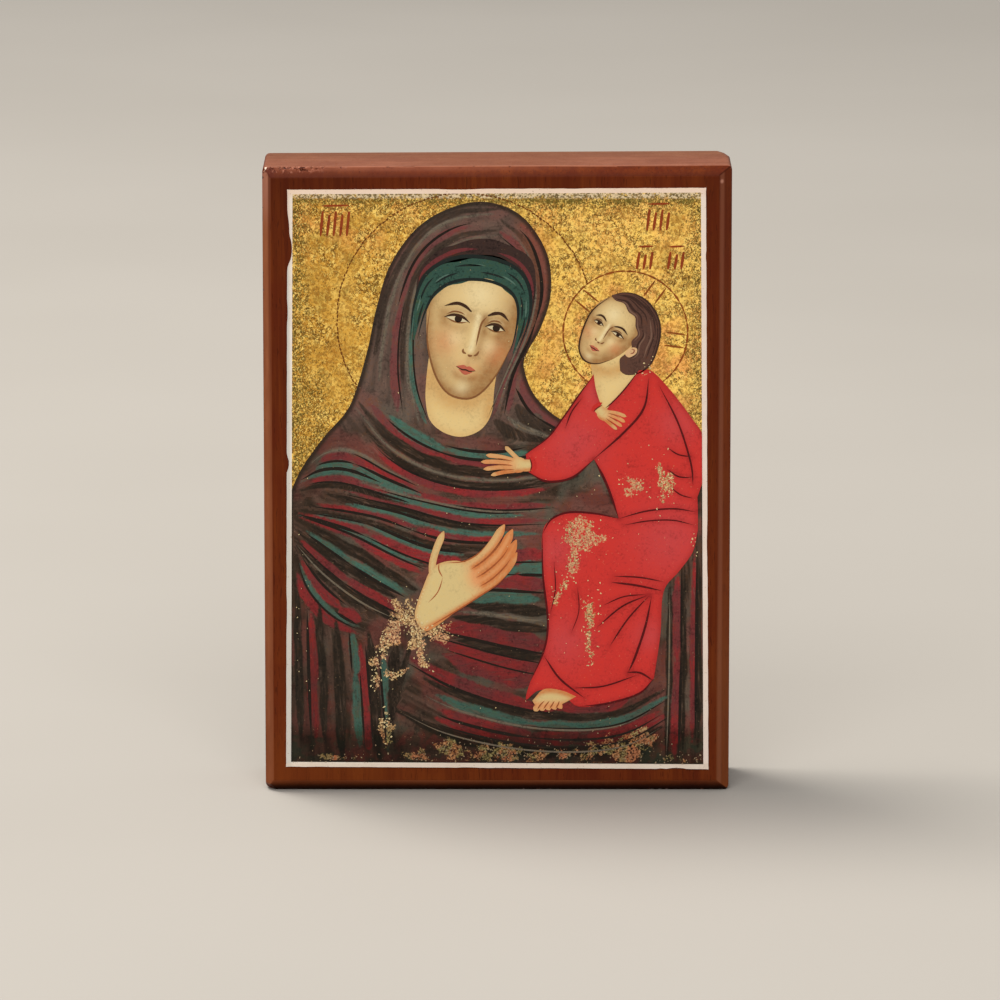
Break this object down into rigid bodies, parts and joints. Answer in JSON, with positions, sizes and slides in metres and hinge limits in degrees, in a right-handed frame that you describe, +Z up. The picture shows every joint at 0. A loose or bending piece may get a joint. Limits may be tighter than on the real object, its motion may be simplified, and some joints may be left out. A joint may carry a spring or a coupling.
{
  "type": "icon panel",
  "caption": "Small upright wooden block with a chamfered front edge, carrying a flat paper print of a traditional mother-and-child icon; stands on a shelf by its own weight.",
  "frame": {"origin": "middle of the block's footprint, on the surface that it stands on", "axes": "+Z up along the picture's height, +X to the viewer's right, +Y from the picture to the back, so the picture faces -Y"},
  "size_m": [0.0754, 0.0186, 0.1026],
  "materials": {
    "stained_wood": "satin red-brown stain, worn pale at a few edges",
    "printed_paper": "coated paper print with a thin white border"
  },
  "bodies": {
    "root": {"wood_block": "stained_wood", "paper_print": "printed_paper"}
  },
  "joints": []
}
